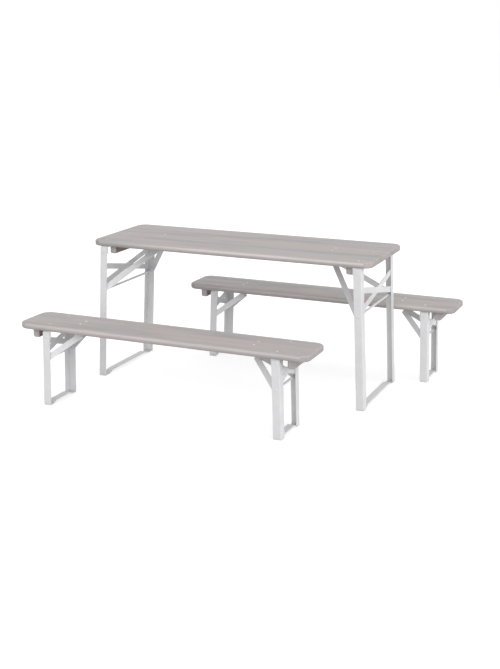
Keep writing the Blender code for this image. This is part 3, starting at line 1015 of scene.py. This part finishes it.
class TABLESET_OT_welds(Step, bpy.types.Operator):
    """Lay weld beads where the cross braces and foot strips meet the uprights"""

    bl_idname = "tableset.welds"
    bl_label = "Welds"

    def execute(self, context):
        steel = settings("steel")
        for unit, side in LEGS:
            leg = f"{unit}_{side}"
            hinge = hinge_place(unit, side)
            low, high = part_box(f"{leg}_hinge_strap")
            swept = max(high.x - hinge.x, hinge.x - low.x)
            # The beads stay out of the strap's turned ends when the leg frame folds
            ceiling = hinge.z - swept - BEAD_ROOM * steel.bead_radius
            beads = []
            for start, end in brace_ends(f"{leg}_cross_brace", -1 if side == "left" else 1):
                share = min(1, (ceiling - start.z) / (end.z - start.z))
                beads.append(bead("bead", start, start.lerp(end, share), steel.bead_radius))
            for start, end in foot_ends(f"{leg}_foot_strip"):
                beads.append(bead("bead", start, end, steel.bead_radius))
            piece = join(f"{leg}_weld_beads", beads)
            smooth(piece)
            material = paint_material(f"{leg}_weld_paint")
            finish_piece(piece, material, f"{leg}_leg", f"{leg}_cross_brace")
        return {"FINISHED"}


def furthest(points, sign):
    """The point that lies furthest to the left or to the right."""
    return max(points, key=lambda point: sign * point.x).copy()


def brace_ends(node, sign):
    """The cut ends of a cross brace, along the upright that each lies against."""
    points = [vertex.co for vertex in frame["nodes"][node].data.vertices]
    low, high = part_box(node)
    pairs = []
    for edge in (low.y, high.y):
        ends = [point for point in points if abs(point.y - edge) < NARROW]
        middle = (min(point.z for point in ends) + max(point.z for point in ends)) / 2
        for upper in (True, False):
            half = [point for point in ends if (point.z > middle) == upper]
            outer = sorted(half, key=lambda point: (point.z, sign * point.x))
            lowest = [point for point in half if point.z < outer[0].z + NARROW]
            highest = [point for point in half if point.z > outer[-1].z - NARROW]
            pairs.append((furthest(lowest, sign), furthest(highest, sign)))
    return pairs


def foot_ends(node):
    """The top edges of a foot strip's two ends, beside the uprights."""
    points = [vertex.co for vertex in frame["nodes"][node].data.vertices]
    low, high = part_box(node)
    pairs = []
    for edge in (low.y, high.y):
        ends = [point for point in points if abs(point.y - edge) < NARROW]
        top = max(point.z for point in ends)
        upper = [point for point in ends if point.z > top - NARROW]
        pairs.append((furthest(upper, -1), furthest(upper, 1)))
    return pairs


def aimed(place, target):
    """A matrix at a place whose Z axis points away from a target."""
    back = (Vector(place) - Vector(target)).normalized()
    return Matrix.Translation(place) @ back.to_track_quat("Z", "Y").to_matrix().to_4x4()


class TABLESET_OT_stage(Step, bpy.types.Operator):
    """Set up the floor, the light and the camera"""

    bl_idname = "tableset.stage"
    bl_label = "Stage"

    def execute(self, context):
        stage = settings("stage")
        scene = context.scene
        deselect()
        bpy.ops.mesh.primitive_plane_add(size=FLOOR_SIZE, location=FLOOR_PLACE)
        floor = context.object
        floor.name = "floor"
        bpy.ops.object.transform_apply(location=True, rotation=True, scale=True)
        material = bpy.data.materials.new("floor_white")
        material.use_nodes = True
        tree = material.node_tree
        shader = tree.nodes["Principled BSDF"]
        shader.inputs["Roughness"].default_value = 0.9
        shader.inputs["Specular IOR Level"].default_value = 0
        mottled = span(tree, noise(tree, object_vector(tree), *FLOOR_MOTTLE), 0.3, 0.7)
        color = blend_color(tree, mottled, tuple(stage.floor), scaled(stage.floor, 0.995))
        tree.links.new(color, shader.inputs["Base Color"])
        shader.inputs["Emission Color"].default_value = (1, 1, 1, 1)
        path = tree.nodes.new("ShaderNodeLightPath").outputs
        seen = math_node(tree, "MAXIMUM", path["Is Camera Ray"], path["Is Glossy Ray"])
        seen = math_node(tree, "MAXIMUM", seen, path["Is Transmission Ray"])
        tree.links.new(math_node(tree, "MULTIPLY", seen, stage.lift), shader.inputs["Emission Strength"])
        floor.data.materials.append(material)

        world = bpy.data.worlds.new("studio")
        scene.world = world
        world.use_nodes = True
        tree = world.node_tree
        background = tree.nodes["Background"]
        background.inputs["Color"].default_value = (1, 1, 1, 1)
        path = tree.nodes.new("ShaderNodeLightPath").outputs
        seen = math_node(tree, "MAXIMUM", path["Is Camera Ray"], path["Is Transmission Ray"])
        extra = math_node(tree, "MULTIPLY", seen, 1 - stage.ambient)
        tree.links.new(math_node(tree, "ADD", extra, stage.ambient), background.inputs["Strength"])

        for name, place in LAMP_PLACES.items():
            lamp = bpy.data.lights.new(name, "SUN")
            lamp.angle = LAMP_ANGLE
            lamp.energy = getattr(stage, name)
            item = bpy.data.objects.new(name, lamp)
            item.matrix_world = aimed(place, LAMP_TARGET)
            scene.collection.objects.link(item)

        data = bpy.data.cameras.new("camera")
        data.lens = stage.lens
        data.sensor_width = SENSOR_WIDTH
        camera = bpy.data.objects.new("camera", data)
        scene.collection.objects.link(camera)
        tilt = Matrix.Rotation(CAMERA_TILT, 4, "X")
        turn = Matrix.Rotation(CAMERA_TURN, 4, "Z")
        camera.matrix_world = Matrix.Translation(CAMERA_PLACE) @ turn @ tilt
        scene.camera = camera
        scene.view_settings.view_transform = "Standard"
        return {"FINISHED"}


STEPS = (
    TABLESET_OT_boards,
    TABLESET_OT_battens,
    TABLESET_OT_screws,
    TABLESET_OT_uprights,
    TABLESET_OT_foot_strips,
    TABLESET_OT_cross_braces,
    TABLESET_OT_brace_rods,
    TABLESET_OT_brace_strips,
    TABLESET_OT_hinge_straps,
    TABLESET_OT_brace_catches,
    TABLESET_OT_rivets,
    TABLESET_OT_welds,
    TABLESET_OT_stage,
)
GROUPS = {
    "wood": TABLESET_PG_wood,
    "steel": TABLESET_PG_steel,
    "screws": TABLESET_PG_screws,
    "stage": TABLESET_PG_stage,
}


class TABLESET_PT_panel(bpy.types.Panel):
    """Lists the settings and the steps"""

    bl_idname = "TABLESET_PT_panel"
    bl_label = "Table set"
    bl_space_type = "VIEW_3D"
    bl_region_type = "UI"
    bl_category = "Table set"

    def draw(self, context):
        layout = self.layout
        for name, kind in GROUPS.items():
            box = layout.box()
            box.label(text=name.title())
            for setting in kind.__annotations__:
                box.prop(settings(name), setting)
        for step in STEPS:
            layout.operator(step.bl_idname)


def register():
    for kind in (*GROUPS.values(), *STEPS, TABLESET_PT_panel):
        bpy.utils.register_class(kind)
    for name, kind in GROUPS.items():
        setattr(bpy.types.Scene, f"tableset_{name}", PointerProperty(type=kind))


def unregister():
    for name in GROUPS:
        delattr(bpy.types.Scene, f"tableset_{name}")
    for kind in reversed((*GROUPS.values(), *STEPS, TABLESET_PT_panel)):
        bpy.utils.unregister_class(kind)


def main():
    register()
    for build_group in (grain_group, paint_group, plate_group, edges_group, batten_shade_group):
        build_group()
    for step in STEPS:
        name = step.bl_idname.split(".")[1]
        getattr(bpy.ops.tableset, name)()


if __name__ == "__main__":
    main()
